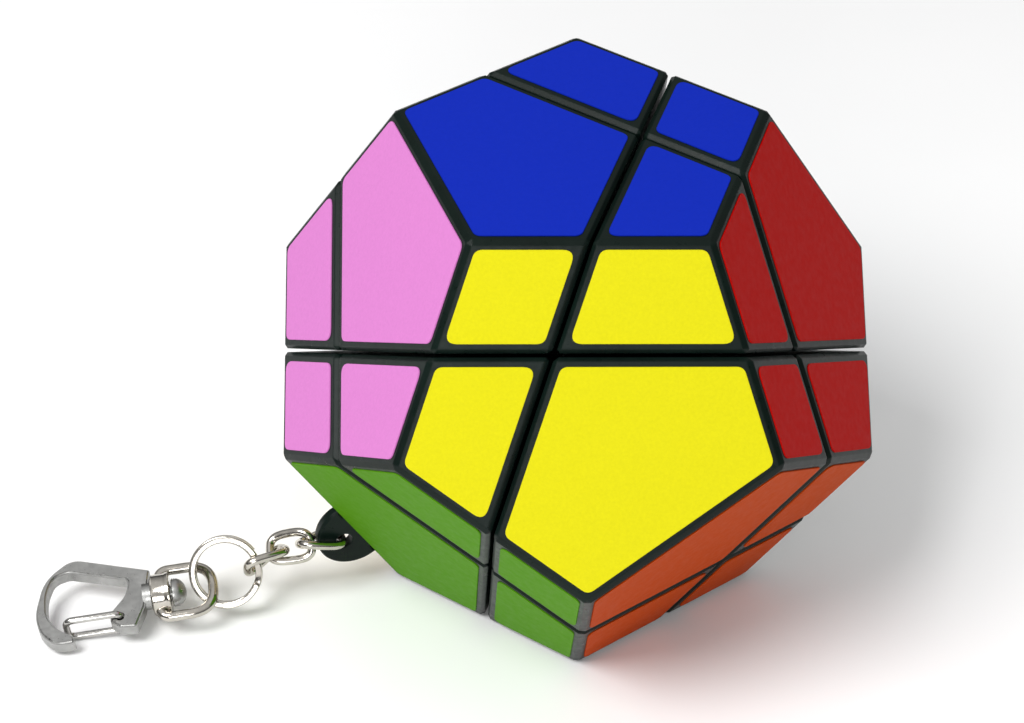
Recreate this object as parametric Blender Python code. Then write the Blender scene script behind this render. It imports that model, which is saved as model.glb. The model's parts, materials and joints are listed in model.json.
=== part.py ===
"""Key-chain dodecahedron twisty puzzle: a deep-cut, corner-turning dodecahedron on its clip.

Units are metres, +Z is up and the puzzle rests on its bottom face at z = 0, whose centre is
the origin. +Y points at the back vertex of the top face. The puzzle is a core with four turning
axes, which carry fourteen outer pieces, each a hollow cap on a foot that reaches under its
neighbours. A lug on one edge piece holds three links, a split ring and a swivel hook.
"""

import math

import bmesh
import bpy
from mathutils import Matrix, Vector

MM = 0.001
PHI = (1 + math.sqrt(5)) / 2

# Puzzle
EDGE = 31.5 * MM
FACE_DISTANCE = 1.1135164 * EDGE  # centre to a face
EDGE_DISTANCE = 1.3090170 * EDGE  # centre to the middle of an edge
CUT_GAP = 0.25 * MM  # from a cutting plane to the piece on each side of it
ROUNDING = 0.55 * MM
WALL = 2.0 * MM
CORE_RADIUS = 11.7 * MM
FOOT_INNER = 12.3 * MM
FOOT_OUTER = 17.7 * MM
FOOT_CEILING = 18.3 * MM
CAP_FLOOR = 21.0 * MM  # the cap ends here and its foot begins
SEAM = 0.15 * MM
UNDERCUT = 2.5 * MM  # how far a foot reaches past its cutting plane
CLIP = 9.0 * MM

# Axis hardware
SCREW_RADIUS = 0.9 * MM
SCREW_HOLE = 1.1 * MM
SCREW_HEAD = 2.2 * MM
SCREW_START = 6.0 * MM
SCREW_HEAD_START = 27.0 * MM
SCREW_END = 28.4 * MM
TUBE_RADIUS = 4.2 * MM
TUBE_BORE = 3.0 * MM
TUBE_FLOOR = 19.7 * MM
TUBE_END = 30.0 * MM
COIL_RADIUS = 2.3 * MM
COIL_WIRE = 0.3 * MM
COIL_TURNS = 5
COIL_START = 20.3 * MM
COIL_END = 26.5 * MM

# Lug on the lower left edge
LUG_RADIUS = 5.45 * MM
LUG_THICKNESS = 1.7 * MM
LUG_DROP = 3.45 * MM  # along the edge, below its middle
LUG_HOLE_OUT = 1.82 * MM
LUG_HOLE = 1.25 * MM
LUG_CLEAR = 0.2 * MM
TONGUE_HALF = 4.0 * MM
TONGUE_DEPTH = 3.4 * MM

# Chain links and split ring
LINK_LENGTH = 7.3 * MM
LINK_WIDTH = 5.2 * MM
LINK_WIRE = 0.65 * MM  # the wires' sizes here are radii
LINK_TWIST = math.radians(20)
RING_RADIUS = 4.75 * MM
RING_WIRE_WIDTH = 1.0 * MM
RING_WIRE_HEIGHT = 0.72 * MM
RING_LAYER = 0.44 * MM
RING_JOG_START = 330  # degrees
RING_JOG_END = 390
RING_SECTION = ((1, 0.5), (0.6, 1), (-0.6, 1), (-1, 0.5), (-1, -0.5), (-0.6, -1), (0.6, -1), (1, -0.5))

# Swivel eye, along +X from the hook
EYE_BASE = 2.3 * MM
EYE_END = 10.0 * MM
EYE_HALF_WIDTH = 4.0 * MM
EYE_CORNER = 1.6 * MM
EYE_WIRE = 0.75 * MM
BARREL_START = 1.3 * MM
BARREL_END = 3.9 * MM
BARREL_FLARE = 0.6 * MM
BARREL_RADIUS = 2.95 * MM
BARREL_LIP = 3.1 * MM
BARREL_BORE = 1.3 * MM

# Hook, in its own plane: X runs along the stem to the eye, Y to the spine, in millimetres
HOOK_THICKNESS = 2.4 * MM
HOOK_BEVEL = 0.3 * MM
HOOK_CORNERS = (
    (1.3, 3.85, 0.4),
    (-9.7, 7.8, 3.0),
    (-13.8, 4.8, 9.0),
    (-15.4, -1.2, 14.0),
    (-14.8, -4.6, 9.0),
    (-12.6, -6.9, 5.0),
    (-9.9, -6.7, 0.5),
    (-10.2, -5.6, 0.5),
    (-12.3, -4.1, 3.0),
    (-13.7, -1.8, 9.0),
    (-13.6, 2.2, 9.0),
    (-12.4, 5.0, 3.0),
    (-10.2, 5.5, 2.0),
    (-1.9, 2.7, 0.8),
    (-2.3, 0.2, 4.0),
    (-4.7, -2.6, 0.6),
    (-4.8, -4.1, 0.5),
    (-3.6, -5.3, 0.6),
    (-1.2, -5.6, 0.6),
    (0.2, -2.4, 2.5),
)
STEM_START = -0.8 * MM
BOSS_START = 0.0
BOSS_END = 1.15 * MM
BOSS_RADIUS = 1.9 * MM
STEM_RADIUS = 1.0 * MM
RIVET_START = 4.15 * MM
RIVET_END = 6.2 * MM
RIVET_RADIUS = 2.0 * MM
GATE_PIVOT = (-3.4 * MM, -3.6 * MM)
GATE_NOSE = (-11.1 * MM, -3.6 * MM)
GATE_WIRE = 0.5 * MM
GATE_CLEAR = 0.15 * MM
GATE_BEND = 0.7 * MM
GATE_TIP = 0.55 * MM
GATE_HOLE = 0.7 * MM
GATE_HOLE_FLOOR = 0.35 * MM

# Where the chain and the clip lie: origins in millimetres, then two directions
LINKS = {
    "link_3": ((-36.25, -11.78, 9.79), (-0.952, -0.303, 0.037), (0.300, -0.905, 0.303)),
    "link_2": ((-40.52, -12.35, 9.11), (-0.972, 0.052, -0.228), (0.114, -0.745, -0.657)),
    "link_1": ((-44.02, -13.68, 7.99), (-0.836, -0.523, -0.168), (-0.219, 0.598, -0.771)),
}
LINK_TOUCH = 3.0 * MM
RING_TOUCH = 2.2 * MM
EYE_TOUCH = (7.3 * MM, -0.3 * MM)
RING_PLACE = ((-49.70, -14.82, 6.56), (0.984, 0.002, 0.176), (-0.148, 0.547, 0.824))
HOOK_ORIGIN = (-61.37, -17.28, 3.99)
HOOK_X = (0.989, 0.107, 0.100)
HOOK_Y = (-0.130, 0.975, 0.180)
EYE_Y = (-0.126, 0.969, 0.214)

BLACK_PLASTIC = ("black_plastic", (0.010, 0.013, 0.012), 0.32, 0.0)
CORE_PLASTIC = ("core_plastic", (0.016, 0.018, 0.018), 0.45, 0.0)
SCREW_STEEL = ("screw_steel", (0.50, 0.50, 0.50), 0.30, 1.0)
SPRING_STEEL = ("spring_steel", (0.62, 0.62, 0.60), 0.25, 1.0)
BRIGHT_NICKEL = ("bright_nickel", (0.72, 0.71, 0.69), 0.18, 1.0)
CAST_NICKEL = ("cast_nickel", (0.60, 0.60, 0.59), 0.34, 1.0)
GATE_STEEL = ("gate_steel", (0.66, 0.66, 0.65), 0.22, 1.0)

# The puzzle's own axes: e1 and its fellows point at the middles of six edges.
CUBE_X = Vector((-0.5, -0.1624598, 0.8506508))
CUBE_Y = Vector((0.3090170, -0.9510565, 0.0))
CUBE_Z = Vector((0.8090170, 0.2628656, 0.5257311))
CENTRE = Vector((0, 0, FACE_DISTANCE))
TURN_AXES = [Vector(v).normalized() for v in ((1, -1, 1), (1, 1, -1), (-1, 1, 1), (-1, -1, -1))]


def puzzle_matrix():
    """From the puzzle's own axes to the world."""
    turned = Matrix((CUBE_X, CUBE_Y, CUBE_Z)).transposed()
    return Matrix.Translation(CENTRE) @ turned.to_4x4()


def face_normals():
    for sign in (1, -1):
        for other in (1, -1):
            yield Vector((sign * PHI, 0, other)).normalized()
            yield Vector((sign, other * PHI, 0)).normalized()
            yield Vector((0, sign, other * PHI)).normalized()


def material(name, colour, roughness, metallic):
    found = bpy.data.materials.get(name)
    if found:
        return found
    made = bpy.data.materials.new(name)
    made.use_nodes = True
    shader = made.node_tree.nodes["Principled BSDF"]
    shader.inputs["Base Color"].default_value = (*colour, 1)
    shader.inputs["Roughness"].default_value = roughness
    shader.inputs["Metallic"].default_value = metallic
    made.diffuse_color = (*colour, 1)
    return made


def add_object(name, mesh, look):
    obj = bpy.data.objects.new(name, mesh)
    bpy.context.scene.collection.objects.link(obj)
    if not mesh.materials:
        mesh.materials.append(material(*look))
    return obj


def mesh_from(name, bm):
    bmesh.ops.recalc_face_normals(bm, faces=bm.faces)
    mesh = bpy.data.meshes.new(name)
    bm.to_mesh(mesh)
    bm.free()
    return mesh


def combine(name, base, steps):
    """A mesh from base and (operation, mesh) steps, each an exact Boolean."""
    scene = bpy.context.scene.collection
    working = bpy.data.objects.new(name, base)
    scene.objects.link(working)
    helpers = []
    for operation, other in steps:
        helper = bpy.data.objects.new(name + "_helper", other)
        scene.objects.link(helper)
        helpers.append(helper)
        modifier = working.modifiers.new(operation, "BOOLEAN")
        modifier.operation = operation
        modifier.solver = "EXACT"
        modifier.object = helper
    graph = bpy.context.evaluated_depsgraph_get()
    graph.update()
    result = bpy.data.meshes.new_from_object(working.evaluated_get(graph), depsgraph=graph)
    result.name = name
    for obj in [working, *helpers]:
        bpy.data.objects.remove(obj)
    return result


def shade(mesh, degrees):
    mesh.shade_smooth()
    mesh.set_sharp_from_angle(angle=math.radians(degrees))
    return mesh


# Puzzle pieces


def convex(name, planes, rounding=0.0):
    """The space behind every (normal, distance) plane."""
    bm = bmesh.new()
    bmesh.ops.create_cube(bm, size=6 * EDGE)
    for normal, distance in planes:
        cut = bmesh.ops.bisect_plane(
            bm,
            geom=bm.verts[:] + bm.edges[:] + bm.faces[:],
            plane_co=normal * distance,
            plane_no=normal,
            clear_outer=True,
            dist=1e-7,
        )
        rim = [part for part in cut["geom_cut"] if isinstance(part, bmesh.types.BMEdge)]
        if rim:
            bmesh.ops.contextual_create(bm, geom=rim)
    if rounding:
        bmesh.ops.bevel(
            bm, geom=bm.edges[:], offset=rounding, segments=1, affect="EDGES", clamp_overlap=True
        )
    return mesh_from(name, bm)


def ball(name, radius):
    bm = bmesh.new()
    bmesh.ops.create_icosphere(bm, subdivisions=3, radius=radius)
    return mesh_from(name, bm)


def rod(name, start, end, radius, axis, sides=16):
    """A cylinder along an axis through the origin."""
    bm = bmesh.new()
    turned = axis.to_track_quat("Z", "Y").to_matrix().to_4x4()
    middle = Matrix.Translation(axis * (start + end) / 2)
    bmesh.ops.create_cone(
        bm,
        cap_ends=True,
        segments=sides,
        radius1=radius,
        radius2=radius,
        depth=end - start,
        matrix=middle @ turned,
    )
    return mesh_from(name, bm)


def layer_planes(signs, plus, minus):
    """A plane for each turning axis: signs says on which side the piece lies (0 for neither)."""
    planes = []
    for axis, sign in zip(TURN_AXES, signs):
        if sign > 0:
            planes.append((-axis, -plus))
        elif sign < 0:
            planes.append((axis, minus))
    return planes


def outer_planes(signs, centre_line, inset):
    """A piece's faces and cuts, each moved in by inset, and a flat end near the centre."""
    planes = [(normal, FACE_DISTANCE - inset) for normal in face_normals()]
    planes += layer_planes(signs, CUT_GAP + inset, -CUT_GAP - inset)
    return planes + [(-centre_line, -CLIP)]


def foot_planes(signs, inset):
    return layer_planes(signs, CUT_GAP - UNDERCUT + inset, -UNDERCUT - CUT_GAP - inset)


def make_cap(name, signs, centre_line):
    """A piece's hollow outer shell, open towards the core."""
    outside = convex(name + "_outside", outer_planes(signs, centre_line, 0), ROUNDING)
    inside = convex(name + "_inside", outer_planes(signs, centre_line, WALL))
    steps = [("DIFFERENCE", inside), ("DIFFERENCE", ball(name + "_floor", CAP_FLOOR + SEAM))]
    return combine(name, outside, steps)


def make_foot(name, signs, centre_line):
    """The piece's foot: a plug that closes the cap, and a layer that its neighbours hold down."""
    plug = convex(name + "_plug", outer_planes(signs, centre_line, 0))
    plug = combine(
        name + "_plug",
        plug,
        [
            ("INTERSECT", ball(name + "_top", CAP_FLOOR - SEAM)),
            ("DIFFERENCE", ball(name + "_ceiling", FOOT_CEILING)),
        ],
    )
    inset = 0.05 * MM
    neck_planes = outer_planes(signs, centre_line, inset) + foot_planes(signs, inset)
    neck = combine(
        name + "_neck",
        convex(name + "_neck", neck_planes),
        [("INTERSECT", ball(name + "_neck_top", (CAP_FLOOR + FOOT_CEILING) / 2))],
    )
    sole = convex(name + "_sole", foot_planes(signs, 0) + [(-centre_line, -CLIP)])
    sole = combine(name + "_sole", sole, [("INTERSECT", ball(name + "_limit", FOOT_OUTER))])
    steps = [("UNION", neck), ("UNION", sole), ("DIFFERENCE", ball(name + "_seat", FOOT_INNER))]
    return combine(name, plug, steps)


def add_spring_tube(name, foot, axis):
    """A foot that turns on a screw gets a tube for the spring and a hole for the shaft."""
    steps = [
        ("UNION", rod(name + "_tube", FOOT_CEILING + MM, TUBE_END, TUBE_RADIUS, axis, 20)),
        ("DIFFERENCE", rod(name + "_bore", TUBE_FLOOR, TUBE_END + MM, TUBE_BORE, axis, 20)),
        ("DIFFERENCE", rod(name + "_hole", CLIP, TUBE_END, SCREW_HOLE, axis, 12)),
    ]
    return combine(name, foot, steps)


def half_turn(axis_index):
    """About one of the puzzle's own axes."""
    signs = [-1, -1, -1]
    signs[axis_index] = 1
    return Matrix.Diagonal((*signs, 1))


CYCLE = Matrix(((0, 0, 1, 0), (1, 0, 0, 0), (0, 1, 0, 0), (0, 0, 0, 1)))
STILL = Matrix.Identity(4)

# Name, and the turn that brings the first piece of each kind to its place.
AXIS_CORNERS = {
    "top_back": STILL,
    "left_front": half_turn(0),
    "right_low": half_turn(2),
    "bottom_back_left": half_turn(1),
}
FREE_CORNERS = {
    "top_front_right": STILL,
    "left_upper": half_turn(0),
    "bottom_front": half_turn(1),
    "back_right": half_turn(2),
}
EDGE_PIECES = {
    "top_left": STILL,
    "bottom_right": half_turn(1),
    "front": CYCLE,
    "back": half_turn(0) @ CYCLE,
    "right_upper": CYCLE @ CYCLE,
    "left_lower": half_turn(0) @ CYCLE @ CYCLE,
}
UPPER_PLACES = (
    "top_back",
    "top_front_right",
    "left_upper",
    "back_right",
    "top_left",
    "back",
    "right_upper",
)


def build_pieces(parents):
    """The fourteen outer pieces, each a cap and its foot."""
    kinds = (
        ("axis_corner", AXIS_CORNERS, (0, -1, -1, -1), TURN_AXES[0]),
        ("free_corner", FREE_CORNERS, (1, 1, 1, -1), Vector((1, 1, 1)).normalized()),
        ("edge", EDGE_PIECES, (1, 1, -1, -1), Vector((1, 0, 0))),
    )
    for kind, places, signs, centre_line in kinds:
        cap = make_cap(kind + "_cap", signs, centre_line)
        foot = make_foot(kind + "_foot", signs, centre_line)
        if kind == "axis_corner":
            foot = add_spring_tube(kind + "_foot", foot, TURN_AXES[0])
        for place, turn in places.items():
            matrix = puzzle_matrix() @ turn
            parent = parents["upper" if place in UPPER_PLACES else "lower"]
            shell = slotted_cap(cap) if place == "left_lower" else cap
            for suffix, mesh in (("cap", shell), ("foot", foot)):
                obj = add_object(f"{kind}_{place}_{suffix}", mesh, BLACK_PLASTIC)
                attach(obj, parent, matrix)


def attach(obj, parent, matrix):
    """Parents an object and sets where it is in the world."""
    obj.parent = parent
    obj.matrix_parent_inverse = parent.matrix_world.inverted()
    obj.matrix_world = matrix


# Core and axis hardware


def build_core(parents):
    core = ball("core_ball", CORE_RADIUS)
    drills = [
        ("DIFFERENCE", rod("core_drill", SCREW_START - MM, CORE_RADIUS + MM, SCREW_HOLE, axis, 12))
        for axis in TURN_AXES
    ]
    obj = add_object("core_ball", shade(combine("core_ball", core, drills), 30), CORE_PLASTIC)
    attach(obj, parents["lower"], puzzle_matrix())


def screw_mesh(axis):
    shaft = rod("axis_screw", SCREW_START, SCREW_HEAD_START + 0.4 * MM, SCREW_RADIUS, axis, 12)
    head = rod("axis_screw_head", SCREW_HEAD_START, SCREW_END, SCREW_HEAD, axis, 16)
    slot = bmesh.new()
    bmesh.ops.create_cube(slot, size=1)
    size = Vector((0.6 * MM, 2.6 * MM, 1.2 * MM))
    turned = axis.to_track_quat("Z", "Y").to_matrix().to_4x4()
    place = Matrix.Translation(axis * SCREW_END) @ turned @ Matrix.Diagonal((*size, 1))
    bmesh.ops.transform(slot, matrix=place, verts=slot.verts)
    steps = [("UNION", head), ("DIFFERENCE", mesh_from("axis_screw_slot", slot))]
    return shade(combine("axis_screw", shaft, steps), 35)


def coil_mesh(axis):
    """A compression spring as one swept wire."""
    steps_per_turn = 10
    sides = 4
    count = COIL_TURNS * steps_per_turn
    turned = axis.to_track_quat("Z", "Y").to_matrix()
    bm = bmesh.new()
    rings = []
    for step in range(count + 1):
        angle = math.tau * step / steps_per_turn
        height = COIL_START + COIL_WIRE + (COIL_END - COIL_START - 2 * COIL_WIRE) * step / count
        outward = Vector((math.cos(angle), math.sin(angle), 0))
        middle = outward * COIL_RADIUS + Vector((0, 0, height))
        ring = []
        for side in range(sides):
            turn = math.tau * side / sides
            offset = outward * math.cos(turn) + Vector((0, 0, math.sin(turn)))
            ring.append(bm.verts.new(turned @ (middle + offset * COIL_WIRE)))
        rings.append(ring)
    for first, second in zip(rings, rings[1:]):
        for side in range(sides):
            after = (side + 1) % sides
            bm.faces.new((first[side], first[after], second[after], second[side]))
    bm.faces.new(rings[0])
    bm.faces.new(rings[-1])
    return shade(mesh_from("axis_spring", bm), 60)


def build_axis_hardware(parents):
    """A screw and a spring on each turning axis."""
    screw = screw_mesh(TURN_AXES[0])
    coil = coil_mesh(TURN_AXES[0])
    for place, turn in AXIS_CORNERS.items():
        for name, mesh, look in (("screw", screw, SCREW_STEEL), ("spring", coil, SPRING_STEEL)):
            obj = add_object(f"axis_{name}_{place}", mesh, look)
            attach(obj, parents["lower"], puzzle_matrix() @ turn)


# Lug


def lug_matrix():
    """X points out from the lower left edge, Y down along it, and Z across the lug."""
    outward = -CUBE_Z
    down = -CUBE_X
    frame = Matrix((outward, down, outward.cross(down))).transposed().to_4x4()
    middle = CENTRE + outward * EDGE_DISTANCE + down * LUG_DROP
    return Matrix.Translation(middle) @ frame


def prism(name, outline, thickness):
    """An outline of (x, y) points as a plate of that thickness, centred on z = 0."""
    bm = bmesh.new()
    face = bm.faces.new([bm.verts.new((x, y, -thickness / 2)) for x, y in outline])
    top = bmesh.ops.extrude_face_region(bm, geom=[face])
    moved = [part for part in top["geom"] if isinstance(part, bmesh.types.BMVert)]
    bmesh.ops.translate(bm, vec=(0, 0, thickness), verts=moved)
    return mesh_from(name, bm)


def build_lug(parents):
    steps = 18
    outline = [(LUG_CLEAR, -TONGUE_HALF), (-TONGUE_DEPTH, -TONGUE_HALF)]
    outline += [(-TONGUE_DEPTH, TONGUE_HALF), (LUG_CLEAR, TONGUE_HALF)]
    for step in range(steps + 1):
        angle = math.pi / 2 - math.pi * step / steps
        outline.append((LUG_CLEAR + LUG_RADIUS * math.cos(angle), LUG_RADIUS * math.sin(angle)))
    plate = prism("chain_lug", outline, LUG_THICKNESS)
    hole = rod("lug_hole", -2 * LUG_THICKNESS, 2 * LUG_THICKNESS, LUG_HOLE, Vector((0, 0, 1)), 24)
    hole.transform(Matrix.Translation((LUG_HOLE_OUT, 0, 0)))
    lug = combine("chain_lug", plate, [("DIFFERENCE", hole)])
    attach(add_object("chain_lug", shade(lug, 30), BLACK_PLASTIC), parents["lower"], lug_matrix())


def slotted_cap(cap):
    """The edge cap that carries the lug, with a slot for its tongue."""
    half = TONGUE_HALF + LUG_CLEAR
    depth = TONGUE_DEPTH + LUG_CLEAR
    outline = [(-depth, -half), (2 * MM, -half), (2 * MM, half), (-depth, half)]
    slot = prism("lug_slot", outline, LUG_THICKNESS + 2 * LUG_CLEAR)
    to_cap = (puzzle_matrix() @ EDGE_PIECES["left_lower"]).inverted()
    slot.transform(to_cap @ lug_matrix())
    return combine("edge_left_lower_cap", cap.copy(), [("DIFFERENCE", slot)])


# Chain and clip


def frame_at(origin, x_axis, y_hint):
    """A placement whose X is x_axis and whose Y is as near y_hint as it can be."""
    x_axis = Vector(x_axis).normalized()
    z_axis = x_axis.cross(Vector(y_hint)).normalized()
    turned = Matrix((x_axis, z_axis.cross(x_axis), z_axis)).transposed().to_4x4()
    return Matrix.Translation(Vector(origin) * MM) @ turned


def ellipse_section(half_width, half_height, sides):
    angles = [math.tau * (side + 0.5) / sides for side in range(sides)]
    return [(half_width * math.cos(angle), half_height * math.sin(angle)) for angle in angles]


def sweep(name, path, ups, section, closed):
    """A section of (across, up) points carried along a path, with the up direction at each point."""
    bm = bmesh.new()
    rings = []
    count = len(path)
    for index, (point, up) in enumerate(zip(path, ups)):
        before = path[(index - 1) % count] if closed or index else point
        after = path[(index + 1) % count] if closed or index < count - 1 else point
        along = (after - before).normalized()
        across = along.cross(up).normalized()
        straight_up = across.cross(along)
        rings.append([bm.verts.new(point + across * x + straight_up * y) for x, y in section])
    sides = len(section)
    pairs = list(zip(rings, rings[1:] + rings[:1])) if closed else list(zip(rings, rings[1:]))
    for first, second in pairs:
        for side in range(sides):
            after = (side + 1) % sides
            bm.faces.new((first[side], first[after], second[after], second[side]))
    if not closed:
        bm.faces.new(rings[0])
        bm.faces.new(rings[-1])
    return mesh_from(name, bm)


def rounded(corners, steps):
    """An outline through (x, y, radius) corners, each turned with an arc."""
    outline = []
    count = len(corners)
    for index, (x, y, radius) in enumerate(corners):
        corner = Vector((x, y))
        back = Vector(corners[index - 1][:2]) - corner
        ahead = Vector(corners[(index + 1) % count][:2]) - corner
        half = back.angle(ahead) / 2
        reach = min(radius / math.tan(half), 0.48 * back.length, 0.48 * ahead.length)
        start = corner + back.normalized() * reach
        end = corner + ahead.normalized() * reach
        for step in range(steps + 1):
            t = step / steps
            outline.append(start * (1 - t) ** 2 + corner * 2 * t * (1 - t) + end * t ** 2)
    return outline


def link_mesh():
    """A long curb link: its wire runs round an oval that is twisted along its length."""
    count = 28
    path, ups = [], []
    for index in range(count):
        angle = math.tau * index / count
        x = math.copysign(abs(math.cos(angle)) ** 0.6, math.cos(angle))
        y = math.copysign(abs(math.sin(angle)) ** 0.6, math.sin(angle))
        twist = Matrix.Rotation(LINK_TWIST * x, 3, "X")
        half_length = LINK_LENGTH / 2 - LINK_WIRE
        half_width = LINK_WIDTH / 2 - LINK_WIRE
        path.append(twist @ Vector((half_length * x, half_width * y, 0)))
        ups.append(twist @ Vector((0, 0, 1)))
    section = ellipse_section(LINK_WIRE, LINK_WIRE, 8)
    return shade(sweep("chain_link", path, ups, section, True), 60)


def split_ring_mesh():
    """Flat wire wound for almost two turns, with one sideways jog from layer to layer."""
    path, ups = [], []
    step = 15
    for degrees in range(RING_JOG_END - 360, RING_JOG_START + 361, step):
        share = (degrees - RING_JOG_START) / (RING_JOG_END - RING_JOG_START)
        share = min(max(share, 0), 1)
        height = RING_LAYER * (2 * share * share * (3 - 2 * share) - 1)
        angle = math.radians(degrees)
        path.append(Vector((RING_RADIUS * math.cos(angle), RING_RADIUS * math.sin(angle), height)))
        ups.append(Vector((0, 0, 1)))
    half_width, half_height = RING_WIRE_WIDTH / 2, RING_WIRE_HEIGHT / 2
    section = [(x * half_width, y * half_height) for x, y in RING_SECTION]
    return shade(sweep("split_ring", path, ups, section, False), 40)


def chain_joints():
    """The point on each chain piece's joint axis, where it touches the piece before it."""
    places = {name: frame_at(*placing) for name, placing in LINKS.items()}
    far_end, near_end = Vector((LINK_TOUCH, 0, 0)), Vector((-LINK_TOUCH, 0, 0))
    eye_frame = frame_at(HOOK_ORIGIN, HOOK_X, EYE_Y)
    return {
        "link_3": lug_matrix() @ Vector((LUG_HOLE_OUT, 0, 0)),
        "link_2": (places["link_3"] @ far_end + places["link_2"] @ near_end) / 2,
        "link_1": (places["link_2"] @ far_end + places["link_1"] @ near_end) / 2,
        "split_ring": places["link_1"] @ Vector((RING_TOUCH, 0, 0)),
        "swivel_eye": eye_frame @ Vector((*EYE_TOUCH, 0)),
    }


def attach_at_joint(obj, place, joints):
    """Hangs a chain piece from an empty on its joint axis."""
    attach(obj, empty_at(obj.name + "_joint", joints[obj.name]), place)


def build_chain():
    joints = chain_joints()
    link = link_mesh()
    for name, placing in LINKS.items():
        attach_at_joint(add_object(name, link, BRIGHT_NICKEL), frame_at(*placing), joints)
    ring = add_object("split_ring", split_ring_mesh(), BRIGHT_NICKEL)
    attach_at_joint(ring, frame_at(*RING_PLACE), joints)


def along_x(mesh):
    """Turns a piece made along Z so that it lies along X."""
    mesh.transform(Matrix.Rotation(math.pi / 2, 4, "Y"))
    return mesh


def cone(name, start, end, start_radius, end_radius, sides=24):
    bm = bmesh.new()
    bmesh.ops.create_cone(
        bm,
        cap_ends=True,
        segments=sides,
        radius1=start_radius,
        radius2=end_radius,
        depth=end - start,
        matrix=Matrix.Translation((0, 0, (start + end) / 2)),
    )
    return along_x(mesh_from(name, bm))


def rod_along_x(name, start, end, radius):
    return cone(name, start, end, radius, radius, 16)


def eye_mesh():
    """The swivel eye: a barrel that turns on the hook's stem, and a loop for the ring."""
    corner = EYE_CORNER
    base, end, half = EYE_BASE, EYE_END, EYE_HALF_WIDTH
    corners = [(base, -half, corner), (end, -half, half), (end, half, half), (base, half, corner)]
    path = [Vector((x, y, 0)) for x, y in rounded(corners, 7)]
    ups = [Vector((0, 0, 1))] * len(path)
    loop = sweep("swivel_eye", path, ups, ellipse_section(EYE_WIRE, EYE_WIRE, 10), True)
    flare = BARREL_END - BARREL_FLARE
    steps = [
        ("UNION", cone("barrel", BARREL_START, flare, BARREL_RADIUS, BARREL_RADIUS)),
        ("UNION", cone("flare", flare - 0.1 * MM, BARREL_END, BARREL_RADIUS, BARREL_LIP)),
        ("DIFFERENCE", rod_along_x("bore", BARREL_START - MM, BARREL_END + MM, BARREL_BORE)),
    ]
    return shade(combine("swivel_eye", loop, steps), 40)


def hook_mesh():
    """The cast D-shaped hook with the stem that its eye turns on."""
    outline = [(x * MM, y * MM) for x, y in rounded(HOOK_CORNERS, 5)]
    plate = prism("hook_body", outline, HOOK_THICKNESS)
    bm = bmesh.new()
    bm.from_mesh(plate)
    rims = [edge for edge in bm.edges if abs(edge.verts[0].co.z - edge.verts[1].co.z) < 1e-7]
    bmesh.ops.bevel(
        bm, geom=rims, offset=HOOK_BEVEL, segments=1, affect="EDGES", clamp_overlap=True
    )
    plate = mesh_from("hook_body", bm)
    steps = [
        ("UNION", rod_along_x("stem", STEM_START, RIVET_END - 0.3 * MM, STEM_RADIUS)),
        ("UNION", cone("boss", BOSS_START, BOSS_END, BOSS_RADIUS, BOSS_RADIUS)),
        ("UNION", cone("rivet", RIVET_START, RIVET_END, RIVET_RADIUS, RIVET_RADIUS * 0.8, 16)),
    ]
    for side in (1, -1):
        floor, top = sorted((side * GATE_HOLE_FLOOR, side * (HOOK_THICKNESS / 2 + MM)))
        hole = rod("gate_hole", floor, top, GATE_HOLE, Vector((0, 0, 1)), 12)
        hole.transform(Matrix.Translation((*GATE_PIVOT, 0)))
        steps.append(("DIFFERENCE", hole))
    return shade(combine("hook_body", plate, steps), 35)


def gate_mesh():
    """The wire gate, about its pivot: two wires beside the plate, joined inside the hook's nose."""
    reach = Vector(GATE_NOSE) - Vector(GATE_PIVOT)
    side = HOOK_THICKNESS / 2 + GATE_CLEAR + GATE_WIRE
    corners = [(0, side, GATE_BEND), (reach.length, side, GATE_BEND * 1.5)]
    path = [(0, GATE_TIP)]
    for corner in (0, 1):
        x, z, radius = corners[corner]
        turn = 1 if corner else -1
        for step in range(5):
            angle = math.pi / 2 * step / 4
            if turn < 0:
                path.append((x + radius * (1 - math.cos(angle)), z - radius * (1 - math.sin(angle))))
            else:
                path.append((x - radius * (1 - math.sin(angle)), z - radius * (1 - math.cos(angle))))
    path += [(x, -z) for x, z in reversed(path)]
    slant = Matrix.Rotation(math.atan2(reach.y, reach.x), 3, "Z")
    points = [slant @ Vector((x, 0, z)) for x, z in path]
    ups = [slant @ Vector((0, 1, 0))] * len(points)
    return shade(sweep("gate_wire", points, ups, ellipse_section(GATE_WIRE, GATE_WIRE, 8), False), 60)


def build_clip():
    hook_frame = frame_at(HOOK_ORIGIN, HOOK_X, HOOK_Y)
    eye_frame = frame_at(HOOK_ORIGIN, HOOK_X, EYE_Y)
    gate_frame = hook_frame @ Matrix.Translation((*GATE_PIVOT, 0))
    eye = add_object("swivel_eye", eye_mesh(), BRIGHT_NICKEL)
    attach_at_joint(eye, eye_frame, chain_joints())
    hook = add_object("hook_body", hook_mesh(), CAST_NICKEL)
    attach(hook, eye, hook_frame)
    bpy.context.view_layer.update()
    gate = add_object("gate_wire", gate_mesh(), GATE_STEEL)
    attach(gate, hook, gate_frame)


# Assembly


def empty_at(name, place):
    obj = bpy.data.objects.new(name, None)
    obj.empty_display_size = 5 * MM
    bpy.context.scene.collection.objects.link(obj)
    obj.location = place
    bpy.context.view_layer.update()
    return obj


def main():
    for obj in list(bpy.data.objects):
        bpy.data.objects.remove(obj)
    parents = {"lower": empty_at("lower_half", CENTRE), "upper": empty_at("upper_half", CENTRE)}
    build_pieces(parents)
    build_core(parents)
    build_axis_hardware(parents)
    build_lug(parents)
    build_chain()
    build_clip()


main()
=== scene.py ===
"""A dodecahedron puzzle with matte stickers, on a short chain with a swivel snap hook."""

import json
import math

import bmesh
import bpy
from mathutils import Matrix, Vector


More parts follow.
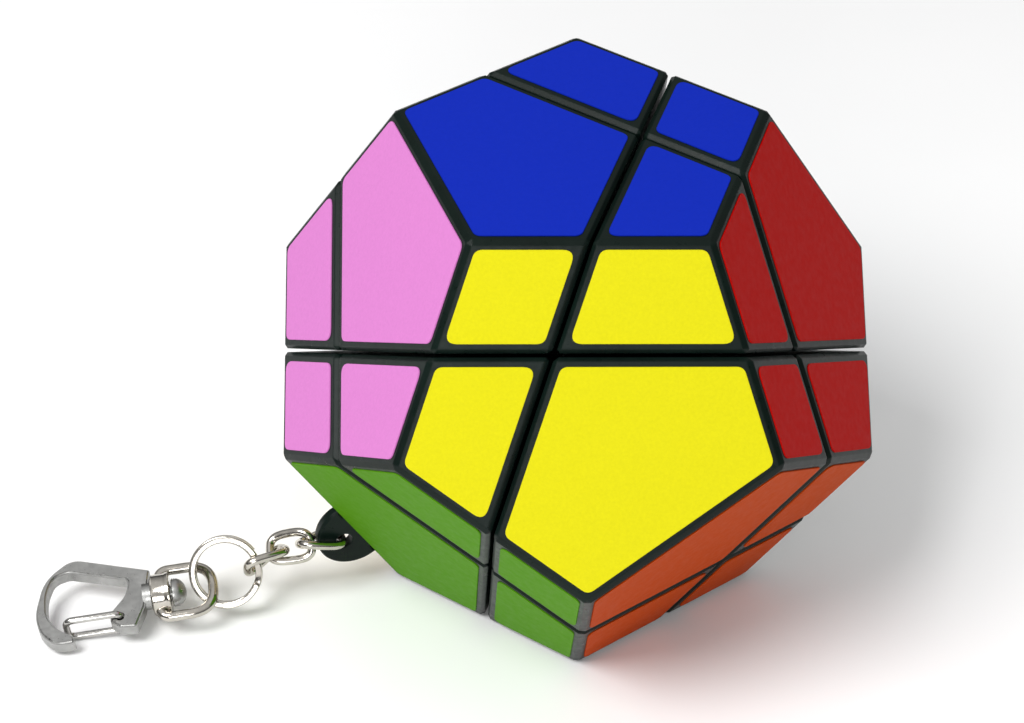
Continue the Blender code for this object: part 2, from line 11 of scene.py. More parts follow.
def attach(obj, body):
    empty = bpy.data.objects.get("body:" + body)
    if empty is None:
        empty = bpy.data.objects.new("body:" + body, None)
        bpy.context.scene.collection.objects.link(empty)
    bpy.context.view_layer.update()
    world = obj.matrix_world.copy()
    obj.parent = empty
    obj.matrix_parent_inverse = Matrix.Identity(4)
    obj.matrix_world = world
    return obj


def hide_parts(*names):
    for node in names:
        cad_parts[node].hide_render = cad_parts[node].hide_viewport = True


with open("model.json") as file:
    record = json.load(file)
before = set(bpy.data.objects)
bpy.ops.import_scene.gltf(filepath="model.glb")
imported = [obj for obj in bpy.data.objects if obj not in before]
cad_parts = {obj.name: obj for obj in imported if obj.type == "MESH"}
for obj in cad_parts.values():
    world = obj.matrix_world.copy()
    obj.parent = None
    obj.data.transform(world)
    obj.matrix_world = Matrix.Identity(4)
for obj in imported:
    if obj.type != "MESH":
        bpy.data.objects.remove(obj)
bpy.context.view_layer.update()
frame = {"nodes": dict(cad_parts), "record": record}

MM = 0.001
PHI = (1 + math.sqrt(5)) / 2

# The puzzle, as in the CAD
FACE_DISTANCE = 35.0758 * MM
CENTRE = Vector((0, 0, FACE_DISTANCE))
CUBE_X = Vector((-0.5, -0.1624598, 0.8506508))
CUBE_Y = Vector((0.3090170, -0.9510565, 0.0))
CUBE_Z = Vector((0.8090170, 0.2628656, 0.5257311))
TURN_AXES = [
    Vector(axis).normalized() for axis in ((1, -1, 1), (1, 1, -1), (-1, 1, 1), (-1, -1, -1))
]

# Stickers
EDGE_MARGIN = 1.10 * MM
CUT_MARGIN = 1.52 * MM
STICKER_CORNER = 1.3 * MM
STICKER_THICKNESS = 0.16 * MM
STICKER_SUNK = 0.04 * MM
STICKER_RIM = 0.05 * MM
FACE_SPAN = 40 * MM  # more than a face's half width
SQUARE = ((-1, -1), (1, -1), (1, 1), (-1, 1))

# Chain and clip: where the CAD puts them, as an origin in millimetres and two directions
LINKS = {
    "link_3": ((-36.25, -11.78, 9.79), (-0.952, -0.303, 0.037), (0.300, -0.905, 0.303)),
    "link_2": ((-40.52, -12.35, 9.11), (-0.972, 0.052, -0.228), (0.114, -0.745, -0.657)),
    "link_1": ((-44.02, -13.68, 7.99), (-0.836, -0.523, -0.168), (-0.219, 0.598, -0.771)),
}
RING_PLACE = ((-49.70, -14.82, 6.56), (0.984, 0.002, 0.176), (-0.148, 0.547, 0.824))
HOOK_ORIGIN = (-61.37, -17.28, 3.99)
HOOK_X = (0.989, 0.107, 0.100)
HOOK_Y = (-0.130, 0.975, 0.180)
EYE_Y = (-0.126, 0.969, 0.214)

LINK_LENGTH = 7.3 * MM
LINK_WIDTH = 5.2 * MM
LINK_WIRE = 0.62 * MM  # 0.03 mm under the CAD, so that links clear at the chain's limits
LINK_TWIST = math.radians(20)
LINK_STEPS = 64
LINK_SQUARENESS = 0.6  # 1 gives an ellipse, less a squarer loop
WIRE_SIDES = 20
BAR_SIDES = 48
RING_RADIUS = 4.75 * MM
RING_WIRE_WIDTH = 1.0 * MM
RING_WIRE_HEIGHT = 0.72 * MM
RING_LAYER = 0.44 * MM
RING_JOG_START = 330  # degrees round the ring where the wire steps to its second layer
RING_JOG_END = 390
RING_STEP = 4
RING_EDGE = 0.22 * MM

EYE_BASE = 2.3 * MM
EYE_END = 10.0 * MM
EYE_HALF_WIDTH = 4.0 * MM
EYE_CORNER = 1.6 * MM
EYE_WIRE = 0.75 * MM
BARREL_START = 1.3 * MM
BARREL_END = 3.9 * MM
BARREL_FLARE = 0.6 * MM
BARREL_RADIUS = 2.95 * MM
BARREL_LIP = 3.1 * MM
BARREL_BORE = 1.3 * MM

HOOK_THICKNESS = 2.4 * MM
HOOK_BEVEL = 0.42 * MM
HOOK_CORNERS = (  # x, y and corner radius, in millimetres
    (1.3, 3.85, 0.4), (-9.7, 7.8, 3.0), (-13.8, 4.8, 9.0), (-15.4, -1.2, 14.0),
    (-14.8, -4.6, 9.0), (-12.6, -6.9, 5.0), (-9.9, -6.7, 0.5), (-10.2, -5.6, 0.5),
    (-12.3, -4.1, 3.0), (-13.7, -1.8, 9.0), (-13.6, 2.2, 9.0), (-12.4, 5.0, 3.0),
    (-10.2, 5.5, 2.0), (-1.9, 2.7, 0.8), (-2.3, 0.2, 4.0), (-4.7, -2.6, 0.6),
    (-4.8, -4.1, 0.5), (-3.6, -5.3, 0.6), (-1.2, -5.6, 0.6), (0.2, -2.4, 2.5),
)
STEM_START = -0.8 * MM
BOSS_START = 0.0
BOSS_END = 1.15 * MM
BOSS_RADIUS = 1.9 * MM
STEM_RADIUS = 1.0 * MM
RIVET_START = 4.15 * MM
RIVET_END = 6.2 * MM
RIVET_RADIUS = 2.0 * MM
RIVET_CHAMFER = 0.12 * MM
RIVET_SKIRT = 0.4 * MM
RIVET_DOME_STEPS = 7
RIVET_SIDES = 40
GATE_PIVOT = (-3.4 * MM, -3.6 * MM)
GATE_NOSE = (-11.1 * MM, -3.6 * MM)
GATE_WIRE = 0.5 * MM
GATE_CLEAR = 0.15 * MM
GATE_BEND = 0.7 * MM
GATE_TIP = 0.55 * MM
GATE_HOLE = 0.7 * MM
GATE_HOLE_FLOOR = 0.35 * MM
GATE_BEND_STEPS = 10
GATE_SIDES = 18
GATE_NOSE_BEND = 1.5  # the nose end's bend, as a share of the pivot end's

# Lug, placed as in the CAD
EDGE_DISTANCE = 1.3090170 * 31.5 * MM
LUG_RADIUS = 5.3 * MM  # 0.15 mm under the CAD, for the same reason
LUG_THICKNESS = 1.7 * MM
LUG_DROP = 3.45 * MM
LUG_HOLE_OUT = 1.82 * MM
LUG_HOLE = 1.25 * MM
LUG_CLEAR = 0.2 * MM
LUG_SUNK = 0.5 * MM
LUG_BEVEL = 0.25 * MM
LUG_ARC_STEPS = 48
TONGUE_HALF = 4.0 * MM
TONGUE_DEPTH = 3.4 * MM


# Materials


def linear(red, green, blue):
    """Linear values of an sRGB colour given from 0 to 255."""
    values = []
    for value in (red, green, blue):
        share = value / 255
        values.append(share / 12.92 if share <= 0.04045 else ((share + 0.055) / 1.055) ** 2.4)
    return (*values, 1)


def shaded(colour, share):
    return (*[min(1, value * share) for value in colour[:3]], 1)


class Nodes:
    """A material's node tree, with short ways to add to it."""

    def __init__(self, name):
        self.material = bpy.data.materials.new(name)
        self.material.use_nodes = True
        self.tree = self.material.node_tree
        self.shader = self.tree.nodes["Principled BSDF"]
        self.place = self.tree.nodes.new("ShaderNodeTexCoord").outputs["Object"]

    def link(self, source, target):
        self.tree.links.new(source, target)

    def noise(self, scale, detail=3.0, roughness=0.55):
        node = self.tree.nodes.new("ShaderNodeTexNoise")
        node.inputs["Scale"].default_value = scale
        node.inputs["Detail"].default_value = detail
        node.inputs["Roughness"].default_value = roughness
        self.link(self.place, node.inputs["Vector"])
        return node.outputs["Fac"]

    def ramp(self, source, stops):
        node = self.tree.nodes.new("ShaderNodeValToRGB")
        elements = node.color_ramp.elements
        while len(elements) < len(stops):
            elements.new(0.5)
        for element, (position, colour) in zip(elements, stops):
            element.position = position
            element.color = colour
        self.link(source, node.inputs["Fac"])
        return node.outputs["Color"]

    def spread(self, source, low, high):
        node = self.tree.nodes.new("ShaderNodeMapRange")
        node.inputs["From Min"].default_value = 0.3
        node.inputs["From Max"].default_value = 0.7
        node.inputs["To Min"].default_value = low
        node.inputs["To Max"].default_value = high
        self.link(source, node.inputs["Value"])
        return node.outputs["Result"]

    def bump(self, source, distance, strength=1.0, under=None):
        node = self.tree.nodes.new("ShaderNodeBump")
        node.inputs["Distance"].default_value = distance
        node.inputs["Strength"].default_value = strength
        self.link(source, node.inputs["Height"])
        if under is not None:
            self.link(under, node.inputs["Normal"])
        self.link(node.outputs["Normal"], self.shader.inputs["Normal"])
        return node.outputs["Normal"]

    def colour(self, source):
        self.link(source, self.shader.inputs["Base Color"])

    def rough(self, source):
        self.link(source, self.shader.inputs["Roughness"])


def vinyl(name, colour):
    """Matte printed vinyl: fine grain, faint mottling of the ink and scuffs."""
    made = Nodes(name)
    mottle = made.noise(2300, 5, 0.7)
    made.colour(made.ramp(mottle, ((0.3, shaded(colour, 0.95)), (0.7, shaded(colour, 1.04)))))
    made.rough(made.spread(made.noise(900, 3), 0.50, 0.64))
    grain = made.bump(made.noise(5200, 2), 0.012 * MM, 0.3)
    made.bump(made.noise(300, 2), 0.010 * MM, 0.15, grain)
    made.shader.inputs["Specular IOR Level"].default_value = 0.06
    return made.material


def black_plastic(name, colour, rough):
    """Moulded ABS: a low sheen, faint flow marks and fine scratches."""
    made = Nodes(name)
    flow = made.noise(150, 4)
    made.colour(made.ramp(flow, ((0.3, shaded(colour, 0.8)), (0.7, shaded(colour, 1.3)))))
    made.rough(made.spread(made.noise(900, 4, 0.6), rough - 0.05, rough + 0.08))
    softened = made.tree.nodes.new("ShaderNodeBevel")
    softened.inputs["Radius"].default_value = 0.35 * MM
    skin = made.bump(made.noise(3400, 3), 0.010 * MM, 0.3, softened.outputs["Normal"])
    made.bump(made.noise(260, 2), 0.015 * MM, 0.2, skin)
    made.shader.inputs["Specular IOR Level"].default_value = 0.13
    return made.material


def metal(name, colour, rough, grain, wobble):
    """Plated or cast metal: tumbled marks, small dents and uneven gloss."""
    made = Nodes(name)
    tint = made.noise(480, 4)
    made.colour(made.ramp(tint, ((0.28, shaded(colour, 0.80)), (0.72, shaded(colour, 1.1)))))
    made.rough(made.spread(made.noise(1300, 4, 0.6), rough * 0.7, rough * 1.45))
    marks = made.bump(made.noise(2600, 3, 0.6), grain, 0.5)
    made.bump(made.noise(420, 2), wobble, 0.5, marks)
    made.shader.inputs["Metallic"].default_value = 1.0
    return made.material


BLACK = linear(9, 21, 17)
CAD_LOOKS = {
    "black_plastic": black_plastic("body_abs", BLACK, 0.30),
    "core_plastic": black_plastic("core_abs", linear(30, 33, 33), 0.45),
    "screw_steel": metal("zinc_screw", linear(190, 190, 188), 0.30, 0.02 * MM, 0.02 * MM),
    "spring_steel": metal("spring_wire", linear(200, 200, 196), 0.25, 0.01 * MM, 0.01 * MM),
    "bright_nickel": metal("nickel_plate", linear(196, 191, 182), 0.13, 0.01 * MM, 0.05 * MM),
    "cast_nickel": metal("cast_nickel_satin", linear(170, 170, 168), 0.34, 0.03 * MM, 0.02 * MM),
    "gate_steel": metal("gate_spring_wire", linear(190, 188, 184), 0.16, 0.01 * MM, 0.03 * MM),
}
FACE_COLOURS = {
    ("top", 0): ("blue", linear(14, 40, 170)),
    ("upper", 270): ("yellow", linear(208, 201, 19)),
    ("upper", 198): ("pink", linear(198, 119, 185)),
    ("upper", 342): ("red", linear(185, 8, 3)),
    ("upper", 54): ("dark_green", linear(12, 84, 52)),
    ("upper", 126): ("purple", linear(85, 43, 137)),
    ("lower", 234): ("green", linear(79, 135, 14)),
    # The orange is darker than the sticker's real tone: painted shade of the puzzle's lower right
    # side, baked into its base colour.
    ("lower", 306): ("orange_painted_shade", linear(177, 63, 1)),
    ("lower", 18): ("white", linear(207, 207, 203)),
    ("lower", 90): ("light_blue", linear(87, 168, 207)),
    ("lower", 162): ("cream", linear(218, 203, 155)),
    ("bottom", 0): ("grey", linear(117, 120, 122)),
}


def dress_cad():
    for node, obj in frame["nodes"].items():
        slot = next(
            part["material_slot"] for part in frame["record"]["subparts"] if part["node"] == node
        )
        for material_slot in obj.material_slots:
            material_slot.material = CAD_LOOKS[slot]


# Stickers


def puzzle_faces():
    """Each face's name key and outward direction."""
    faces = []
    for big, small in ((PHI, 1), (PHI, -1), (-PHI, 1), (-PHI, -1)):
        for turn in range(3):
            parts = [big, 0, small]
            parts = parts[-turn:] + parts[:-turn] if turn else parts
            outward = (CUBE_X * parts[0] + CUBE_Y * parts[1] + CUBE_Z * parts[2]).normalized()
            azimuth = round(math.degrees(math.atan2(outward.y, outward.x))) % 360
            if abs(outward.z) > 0.9:
                key = ("top" if outward.z > 0 else "bottom", 0)
            else:
                key = ("upper" if outward.z > 0 else "lower", azimuth)
            faces.append((key, outward))
    return faces


def clipped(polygon, normal, offset):
    """The part of a flat polygon where normal . point >= offset."""
    kept = []
    for index, point in enumerate(polygon):
        before = polygon[index - 1]
        now_in = normal.dot(point) >= offset
        was_in = normal.dot(before) >= offset
        if now_in != was_in:
            share = (offset - normal.dot(before)) / normal.dot(point - before)
            kept.append(before.lerp(point, share))
        if now_in:
            kept.append(point)
    return kept


def rounded(corners, steps):
    """An outline through (x, y, radius) corners, each turned with an arc."""
    outline = []
    count = len(corners)
    for index, (x, y, radius) in enumerate(corners):
        corner = Vector((x, y))
        back = Vector(corners[index - 1][:2]) - corner
        ahead = Vector(corners[(index + 1) % count][:2]) - corner
        half = back.angle(ahead) / 2
        reach = min(radius / math.tan(half), 0.48 * back.length, 0.48 * ahead.length)
        start = corner + back.normalized() * reach
        end = corner + ahead.normalized() * reach
        for step in range(steps + 1):
            t = step / steps
            outline.append(start * (1 - t) ** 2 + corner * 2 * t * (1 - t) + end * t ** 2)
    return outline


def sticker_outlines(outward, all_outwards):
    """The stickers on one face: each one's cut signs, its outline and the face's directions."""
    side = outward.cross(Vector((0, 0, 1)))
    across = (side if side.length > 0.1 else Vector((1, 0, 0))).normalized()
    upward = outward.cross(across)
    lines = []
    for other in all_outwards:
        slope = Vector((other.dot(across), other.dot(upward)))
        if other.dot(outward) > 0.1 and slope.length > 0.1:
            limit = FACE_DISTANCE * (1 - other.dot(outward)) / slope.length
            lines.append((-slope.normalized(), EDGE_MARGIN - limit))
    found = []
    for code in range(16):
        signs = [1 if code >> bit & 1 else -1 for bit in range(4)]
        polygon = [Vector((x * FACE_SPAN, y * FACE_SPAN)) for x, y in SQUARE]
        for normal, offset in lines:
            polygon = clipped(polygon, normal, offset)
        for sign, axis in zip(signs, TURN_AXES):
            turned = CUBE_X * axis.x + CUBE_Y * axis.y + CUBE_Z * axis.z
            slope = Vector((turned.dot(across), turned.dot(upward))) * sign
            height = turned.dot(outward) * FACE_DISTANCE * sign
            offset = -height / slope.length + CUT_MARGIN
            polygon = clipped(polygon, slope.normalized(), offset) if polygon else polygon
        if len(polygon) > 2:
            found.append((signs, polygon, across, upward))
    return found


def make_sticker(name, outline, across, upward, outward, look):
    """A thin rounded plate on a face, with its upper edge softened."""
    corners = [(point.x, point.y, STICKER_CORNER) for point in outline]
    bm = bmesh.new()
    base = CENTRE + outward * (FACE_DISTANCE - STICKER_SUNK)
    verts = [bm.verts.new(base + across * x + upward * y) for x, y in rounded(corners, 6)]
    bottom = bm.faces.new(verts)
    top = bmesh.ops.extrude_face_region(bm, geom=[bottom])
    moved = [part for part in top["geom"] if isinstance(part, bmesh.types.BMVert)]
    bmesh.ops.translate(bm, vec=outward * (STICKER_THICKNESS + STICKER_SUNK), verts=moved)
    lids = [part for part in top["geom"] if isinstance(part, bmesh.types.BMFace)]
    rim = [edge for face in lids for edge in face.edges]
    bmesh.ops.bevel(
        bm, geom=rim, offset=STICKER_RIM, segments=2, affect="EDGES", clamp_overlap=True
    )
    return to_object(name, bm, look, 40)


def to_object(name, bm, look, angle):
    bmesh.ops.recalc_face_normals(bm, faces=bm.faces)
    mesh = bpy.data.meshes.new(name)
    bm.to_mesh(mesh)
    bm.free()
    mesh.materials.append(look)
    mesh.shade_smooth()
    mesh.set_sharp_from_angle(angle=math.radians(angle))
    obj = bpy.data.objects.new(name, mesh)
    bpy.context.scene.collection.objects.link(obj)
    return obj


def add_stickers():
    faces = puzzle_faces()
    outwards = [outward for _, outward in faces]
    for key, outward in faces:
        colour_name, colour = FACE_COLOURS[key]
        look = vinyl("vinyl_" + colour_name, colour)
        found = sticker_outlines(outward, outwards)
        for number, (signs, outline, across, upward) in enumerate(found, 1):
            name = f"sticker_{colour_name}_{number}"
            obj = make_sticker(name, outline, across, upward, outward, look)
            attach(obj, "upper_half" if signs[0] > 0 else "lower_half")


# Chain and clip


def frame_at(origin, x_axis, y_hint):
    x_axis = Vector(x_axis).normalized()
    z_axis = x_axis.cross(Vector(y_hint)).normalized()
    turned = Matrix((x_axis, z_axis.cross(x_axis), z_axis)).transposed().to_4x4()
    return Matrix.Translation(Vector(origin) * MM) @ turned


def ellipse_section(half_width, half_height, sides):
    angles = [math.tau * (side + 0.5) / sides for side in range(sides)]
    return [(half_width * math.cos(angle), half_height * math.sin(angle)) for angle in angles]


def swept(path, ups, section, closed):
    """A section of (across, up) points carried along a path, with an up direction for each."""
    bm = bmesh.new()
    rings = []
    count = len(path)
    for index, (point, up) in enumerate(zip(path, ups)):
        before = path[(index - 1) % count] if closed or index else point
        after = path[(index + 1) % count] if closed or index < count - 1 else point
        along = (after - before).normalized()
        across = along.cross(up).normalized()
        straight_up = across.cross(along)
        rings.append([bm.verts.new(point + across * x + straight_up * y) for x, y in section])
    sides = len(section)
    for first, second in zip(rings, rings[1:] + (rings[:1] if closed else [])):
        for side in range(sides):
            after = (side + 1) % sides
            bm.faces.new((first[side], first[after], second[after], second[side]))
    if not closed:
        bm.faces.new(rings[0])
        bm.faces.new(rings[-1])
    return bm


def placed(obj, place, body, node):
    """Puts a piece where its CAD node is and lets it stand for that node."""
    obj.matrix_world = place
    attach(obj, body)
    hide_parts(node)


def add_links():
    half_length = LINK_LENGTH / 2 - LINK_WIRE
    half_width = LINK_WIDTH / 2 - LINK_WIRE
    for name, placing in LINKS.items():
        path, ups = [], []
        for index in range(LINK_STEPS):
            angle = math.tau * index / LINK_STEPS
            x = math.copysign(abs(math.cos(angle)) ** LINK_SQUARENESS, math.cos(angle))
            y = math.copysign(abs(math.sin(angle)) ** LINK_SQUARENESS, math.sin(angle))
            twist = Matrix.Rotation(LINK_TWIST * x, 3, "X")
            path.append(twist @ Vector((half_length * x, half_width * y, 0)))
            ups.append(twist @ Vector((0, 0, 1)))
        bm = swept(path, ups, ellipse_section(LINK_WIRE, LINK_WIRE, WIRE_SIDES), True)
        obj = to_object("chain_" + name, bm, CAD_LOOKS["bright_nickel"], 80)
        placed(obj, frame_at(*placing), name, name)


def add_split_ring():
    path, ups = [], []
    for degrees in range(RING_JOG_END - 360, RING_JOG_START + 361, RING_STEP):
        share = min(max((degrees - RING_JOG_START) / (RING_JOG_END - RING_JOG_START), 0), 1)
        height = RING_LAYER * (2 * share * share * (3 - 2 * share) - 1)
        angle = math.radians(degrees)
        path.append(Vector((RING_RADIUS * math.cos(angle), RING_RADIUS * math.sin(angle), height)))
        ups.append(Vector((0, 0, 1)))
    half_width, half_height = RING_WIRE_WIDTH / 2, RING_WIRE_HEIGHT / 2
    corners = [(half_width, half_height, RING_EDGE), (-half_width, half_height, RING_EDGE)]
    corners += [(-half_width, -half_height, RING_EDGE), (half_width, -half_height, RING_EDGE)]
    bm = swept(path, ups, [tuple(point) for point in rounded(corners, 4)], False)
    obj = to_object("key_split_ring", bm, CAD_LOOKS["bright_nickel"], 50)
    placed(obj, frame_at(*RING_PLACE), "split_ring", "split_ring")


def lathe(profile):
    """A profile of (x, radius) points turned about X, closed from its last point to its first."""
    bm = bmesh.new()
    rings = []
    for side in range(BAR_SIDES):
        angle = math.tau * side / BAR_SIDES
        across, up = math.cos(angle), math.sin(angle)
        rings.append([bm.verts.new((x, r * across, r * up)) for x, r in profile])
    for first, second in zip(rings, rings[1:] + rings[:1]):
        for index in range(len(profile)):
            after = (index + 1) % len(profile)
            bm.faces.new((first[index], first[after], second[after], second[index]))
    return bm


def boolean(obj, tool_bm, operation):
    """Joins or cuts an object with a temporary one, at once."""
    bmesh.ops.recalc_face_normals(tool_bm, faces=tool_bm.faces)
    mesh = bpy.data.meshes.new("tool")
    tool_bm.to_mesh(mesh)
    tool_bm.free()
    tool = bpy.data.objects.new("tool", mesh)
    bpy.context.scene.collection.objects.link(tool)
    modifier = obj.modifiers.new("step", "BOOLEAN")
    modifier.operation = operation
    modifier.object = tool
    modifier.solver = "EXACT"
    graph = bpy.context.evaluated_depsgraph_get()
    done = bpy.data.meshes.new_from_object(obj.evaluated_get(graph))
    obj.modifiers.clear()
    obj.data = done
    bpy.data.objects.remove(tool)


def finish_shading(obj, look, angle):
    obj.data.materials.clear()
    obj.data.materials.append(look)
    obj.data.shade_smooth()
    obj.data.set_sharp_from_angle(angle=math.radians(angle))


def add_eye():
    base, end, half = EYE_BASE, EYE_END, EYE_HALF_WIDTH
    corners = [(base, -half, EYE_CORNER), (end, -half, half)]
    corners += [(end, half, half), (base, half, EYE_CORNER)]
    path = [Vector((x, y, 0)) for x, y in rounded(corners, 18)]
    ups = [Vector((0, 0, 1))] * len(path)
    bm = swept(path, ups, ellipse_section(EYE_WIRE, EYE_WIRE, WIRE_SIDES), True)
    obj = to_object("swivel_loop", bm, CAD_LOOKS["bright_nickel"], 50)
    soft = 0.18 * MM
    flare = BARREL_END - BARREL_FLARE
    profile = [
        (BARREL_START, BARREL_BORE),
        (BARREL_START, BARREL_RADIUS - soft),
        (BARREL_START + soft, BARREL_RADIUS),
        (flare - 0.3 * MM, BARREL_RADIUS),
        (flare, BARREL_RADIUS + 0.05 * MM),
        (BARREL_END - 0.35 * MM, BARREL_LIP),
        (BARREL_END - 0.1 * MM, BARREL_LIP),
        (BARREL_END, BARREL_LIP - 0.12 * MM),
        (BARREL_END, BARREL_BORE),
    ]
    boolean(obj, lathe(profile), "UNION")
    boolean(obj, lathe_solid(BARREL_START - MM, BARREL_END + MM, BARREL_BORE), "DIFFERENCE")
    finish_shading(obj, CAD_LOOKS["bright_nickel"], 40)
    placed(obj, frame_at(HOOK_ORIGIN, HOOK_X, EYE_Y), "swivel_eye", "swivel_eye")


def lathe_solid(start, end, radius):
    """A plain round bar along X."""
    bm = bmesh.new()
    along = Matrix.Translation(((start + end) / 2, 0, 0)) @ Matrix.Rotation(math.pi / 2, 4, "Y")
    bmesh.ops.create_cone(
        bm, cap_ends=True, segments=BAR_SIDES, radius1=radius, radius2=radius,
        depth=end - start, matrix=along,
    )
    return bm


def plate(outline, thickness, bevel, segments):
    """An outline as a plate centred on z = 0, with its rims rounded."""
    bm = bmesh.new()
    face = bm.faces.new([bm.verts.new((x, y, -thickness / 2)) for x, y in outline])
    top = bmesh.ops.extrude_face_region(bm, geom=[face])
    moved = [part for part in top["geom"] if isinstance(part, bmesh.types.BMVert)]
    bmesh.ops.translate(bm, vec=(0, 0, thickness), verts=moved)
    rims = [edge for edge in bm.edges if abs(edge.verts[0].co.z - edge.verts[1].co.z) < 1e-7]
    bmesh.ops.bevel(
        bm, geom=rims, offset=bevel, segments=segments, affect="EDGES", clamp_overlap=True
    )
    return bm


def add_lug():
    """The lug as one smooth plate with softened rims, over the CAD's faceted one."""
    outline = [(-LUG_SUNK, -LUG_RADIUS), (-LUG_SUNK, -TONGUE_HALF), (-TONGUE_DEPTH, -TONGUE_HALF)]
    outline += [(-TONGUE_DEPTH, TONGUE_HALF), (-LUG_SUNK, TONGUE_HALF), (-LUG_SUNK, LUG_RADIUS)]
    for step in range(LUG_ARC_STEPS + 1):
        angle = math.pi / 2 - math.pi * step / LUG_ARC_STEPS
        outline.append((LUG_CLEAR + LUG_RADIUS * math.cos(angle), LUG_RADIUS * math.sin(angle)))
    bm = plate(outline, LUG_THICKNESS, LUG_BEVEL, 3)
    obj = to_object("keyring_lug", bm, CAD_LOOKS["black_plastic"], 35)
    hole = lathe_solid(-LUG_THICKNESS, LUG_THICKNESS, LUG_HOLE)
    to_z = Matrix.Translation((LUG_HOLE_OUT, 0, 0)) @ Matrix.Rotation(-math.pi / 2, 4, "Y")
    bmesh.ops.transform(hole, matrix=to_z, verts=hole.verts)
    boolean(obj, hole, "DIFFERENCE")
    finish_shading(obj, CAD_LOOKS["black_plastic"], 35)
    outward, down = -CUBE_Z, -CUBE_X
    turned = Matrix((outward, down, outward.cross(down))).transposed().to_4x4()
    middle = CENTRE + outward * EDGE_DISTANCE + down * LUG_DROP
    placed(obj, Matrix.Translation(middle) @ turned, "lower_half", "chain_lug")


def domed_rivet():
    """The stem's riveted head inside the eye: a short skirt and a dome, turned about X."""
    bm = bmesh.new()
    profile = [
        (RIVET_START, RIVET_RADIUS - RIVET_CHAMFER), (RIVET_START + RIVET_CHAMFER, RIVET_RADIUS)
    ]
    dome = RIVET_START + RIVET_SKIRT
    for step in range(RIVET_DOME_STEPS):
        angle = math.pi / 2 * step / RIVET_DOME_STEPS
        height = (RIVET_END - dome) * math.sin(angle)
        profile.append((dome + height, RIVET_RADIUS * math.cos(angle)))
    angles = [math.tau * side / RIVET_SIDES for side in range(RIVET_SIDES)]
    rings = []
    for x, radius in profile:
        ring = [(x, radius * math.cos(angle), radius * math.sin(angle)) for angle in angles]
        rings.append([bm.verts.new(point) for point in ring])
    for first, second in zip(rings, rings[1:]):
        for side in range(RIVET_SIDES):
            after = (side + 1) % RIVET_SIDES
            bm.faces.new((first[side], first[after], second[after], second[side]))
    bm.faces.new(rings[0])
    bm.faces.new(rings[-1])
    return bm


def add_hook():
    outline = [(x * MM, y * MM) for x, y in rounded(HOOK_CORNERS, 10)]
    bm = plate(outline, HOOK_THICKNESS, HOOK_BEVEL, 3)
    obj = to_object("snap_hook", bm, CAD_LOOKS["cast_nickel"], 35)
    boolean(obj, lathe_solid(STEM_START, RIVET_START + 0.3 * MM, STEM_RADIUS), "UNION")
    boolean(obj, lathe_solid(BOSS_START, BOSS_END, BOSS_RADIUS), "UNION")
    boolean(obj, domed_rivet(), "UNION")
    for side in (1, -1):
        floor, top = sorted((side * GATE_HOLE_FLOOR, side * (HOOK_THICKNESS / 2 + MM)))
        hole = lathe_solid(floor, top, GATE_HOLE)
        to_z = Matrix.Translation((*GATE_PIVOT, 0)) @ Matrix.Rotation(-math.pi / 2, 4, "Y")
        bmesh.ops.transform(hole, matrix=to_z, verts=hole.verts)
        boolean(obj, hole, "DIFFERENCE")
    finish_shading(obj, CAD_LOOKS["cast_nickel"], 32)
    placed(obj, frame_at(HOOK_ORIGIN, HOOK_X, HOOK_Y), "hook_body", "hook_body")


def add_gate():
    reach = Vector(GATE_NOSE) - Vector(GATE_PIVOT)
    side = HOOK_THICKNESS / 2 + GATE_CLEAR + GATE_WIRE
    path = [(0, GATE_TIP)]
    angles = [math.pi / 2 * step / GATE_BEND_STEPS for step in range(GATE_BEND_STEPS + 1)]
    for angle in angles:
        x = GATE_BEND * (1 - math.cos(angle))
        path.append((x, side - GATE_BEND * (1 - math.sin(angle))))
    radius = GATE_BEND * GATE_NOSE_BEND
    for angle in angles:
        x = reach.length - radius * (1 - math.sin(angle))
        path.append((x, side - radius * (1 - math.cos(angle))))
    path += [(x, -z) for x, z in reversed(path)]
    slant = Matrix.Rotation(math.atan2(reach.y, reach.x), 3, "Z")
    points = [slant @ Vector((x, 0, z)) for x, z in path]
    ups = [slant @ Vector((0, 1, 0))] * len(points)
    bm = swept(points, ups, ellipse_section(GATE_WIRE, GATE_WIRE, GATE_SIDES), False)
    obj = to_object("wire_gate", bm, CAD_LOOKS["gate_steel"], 60)
    place = frame_at(HOOK_ORIGIN, HOOK_X, HOOK_Y) @ Matrix.Translation((*GATE_PIVOT, 0))
    placed(obj, place, "gate_wire", "gate_wire")


# Studio

SKY_LEVELS = ((0.12, 0.05), (0.85, 1.0))  # height in the sky, from 0 to 1, and its grey level
SKY_STRENGTH = 0.72
LAMP_TARGET = (0, 0, 0.03)
LAMPS = (  # name, place in metres, width in metres, power in watts
    ("key", (-0.42, -0.30, 0.70), 0.45, 5.9),
    ("front", (-0.12, -0.80, 0.30), 0.35, 1.9),
)
FLOOR_SIZE = 3
CAMERA_PLACE = (-0.0218772, -0.3423263, 0.3079718)
CAMERA_AHEAD = (0.02920, 0.77927, -0.62600)
CAMERA_UP = (0.0015, 0.62624, 0.77963)
CAMERA_LENS = 109.445


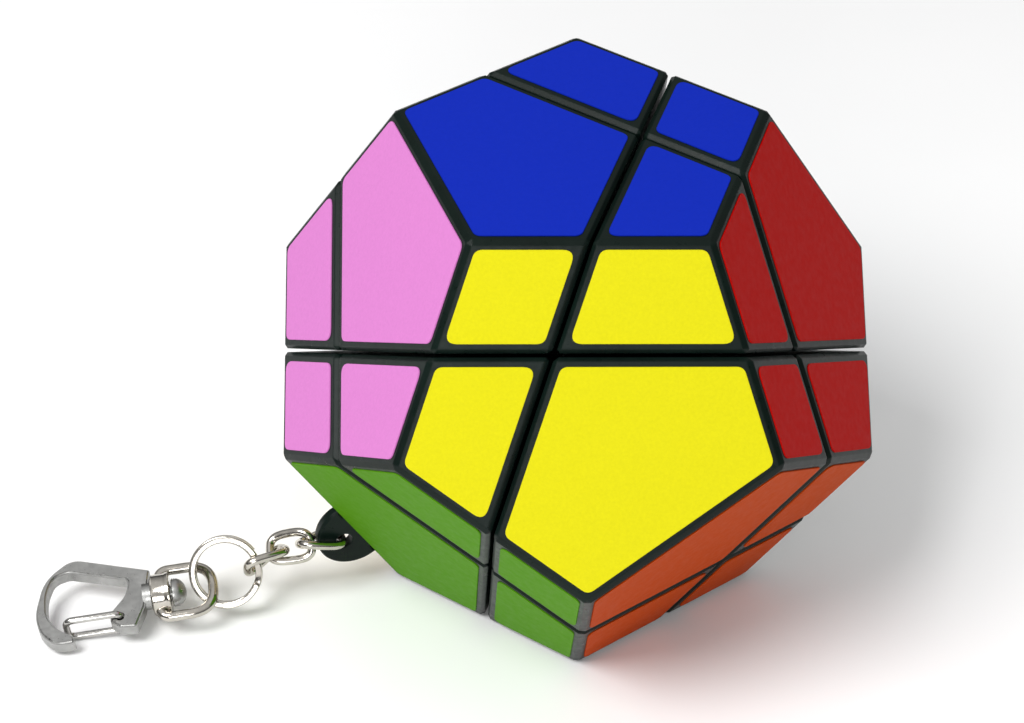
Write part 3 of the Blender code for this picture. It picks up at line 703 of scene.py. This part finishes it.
def add_floor():
    bm = bmesh.new()
    bmesh.ops.create_grid(bm, x_segments=4, y_segments=4, size=FLOOR_SIZE)
    made = Nodes("paper_sweep")
    stops = ((0.3, (0.93, 0.93, 0.93, 1)), (0.7, (0.95, 0.95, 0.95, 1)))
    made.colour(made.ramp(made.noise(9, 3), stops))
    made.rough(made.spread(made.noise(60, 3), 0.7, 0.8))
    floor = to_object("studio_floor", bm, made.material, 30)
    floor.location.z = -STICKER_THICKNESS  # the bottom stickers stand proud of the CAD's base


def add_area(name, place, target, size, power):
    data = bpy.data.lights.new(name, "AREA")
    data.shape = "DISK"
    data.size = size
    data.energy = power
    lamp = bpy.data.objects.new(name, data)
    lamp.location = place
    aim = Vector(target) - Vector(place)
    lamp.rotation_euler = aim.to_track_quat("-Z", "Y").to_euler()
    bpy.context.scene.collection.objects.link(lamp)


def add_studio():
    add_floor()
    world = bpy.data.worlds.new("studio")
    world.use_nodes = True
    tree = world.node_tree
    split = tree.nodes.new("ShaderNodeSeparateXYZ")
    ramp = tree.nodes.new("ShaderNodeValToRGB")
    direction = tree.nodes.new("ShaderNodeTexCoord").outputs["Generated"]
    tree.links.new(direction, split.inputs["Vector"])
    tree.links.new(split.outputs["Z"], ramp.inputs["Fac"])
    tree.links.new(ramp.outputs["Color"], tree.nodes["Background"].inputs["Color"])
    for element, (position, level) in zip(ramp.color_ramp.elements, SKY_LEVELS):
        element.position = position
        element.color = (level, level, level, 1)
    tree.nodes["Background"].inputs["Strength"].default_value = SKY_STRENGTH
    bpy.context.scene.world = world
    for name, place, size, power in LAMPS:
        add_area(name, place, LAMP_TARGET, size, power)
    bpy.context.scene.view_settings.view_transform = "Standard"


def add_camera():
    data = bpy.data.cameras.new("camera")
    data.sensor_width = 36
    data.lens = CAMERA_LENS
    data.clip_start = 0.01
    data.clip_end = 20
    camera = bpy.data.objects.new("camera", data)
    ahead = Vector(CAMERA_AHEAD).normalized()
    right = ahead.cross(Vector(CAMERA_UP)).normalized()
    up = right.cross(ahead)
    turned = Matrix((right, up, -ahead)).transposed().to_4x4()
    camera.matrix_world = Matrix.Translation(CAMERA_PLACE) @ turned
    bpy.context.scene.collection.objects.link(camera)
    bpy.context.scene.camera = camera


dress_cad()
add_stickers()
add_links()
add_split_ring()
add_eye()
add_hook()
add_gate()
add_lug()
add_studio()
add_camera()

bpy.context.view_layer.update()
